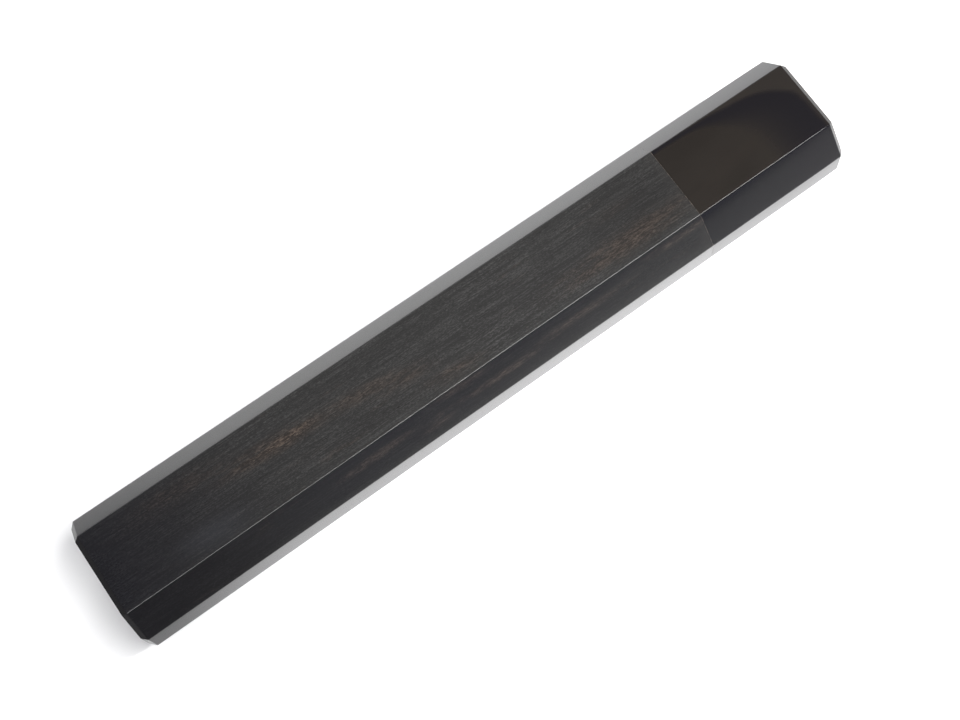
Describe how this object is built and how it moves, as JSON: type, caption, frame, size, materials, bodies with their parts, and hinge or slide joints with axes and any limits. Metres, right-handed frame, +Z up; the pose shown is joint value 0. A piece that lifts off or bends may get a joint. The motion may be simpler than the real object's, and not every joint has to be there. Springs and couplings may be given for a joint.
{
  "type": "knife handle",
  "caption": "Straight tapered octagonal knife handle in dark ebony with a polished horn ferrule and a slotted core dowel for a hidden tang.",
  "frame": {"origin": "centre of the wide facet the handle lies on, at mid length", "axes": "+X along the handle from the butt to the ferrule's face, +Y across the wide facets, +Z up through the thickness"},
  "size_m": [0.1488, 0.0248, 0.0179],
  "materials": {
    "ebony": "oiled and finely sanded, silky",
    "horn": "buffed buffalo horn, glossy",
    "dowel_wood": "raw sawn hardwood",
    "glue": "cured clear adhesive"
  },
  "bodies": {
    "root": {"ebony_body": "ebony", "horn_ferrule": "horn", "core_dowel": "dowel_wood", "seam_glue_film": "glue"}
  },
  "joints": []
}
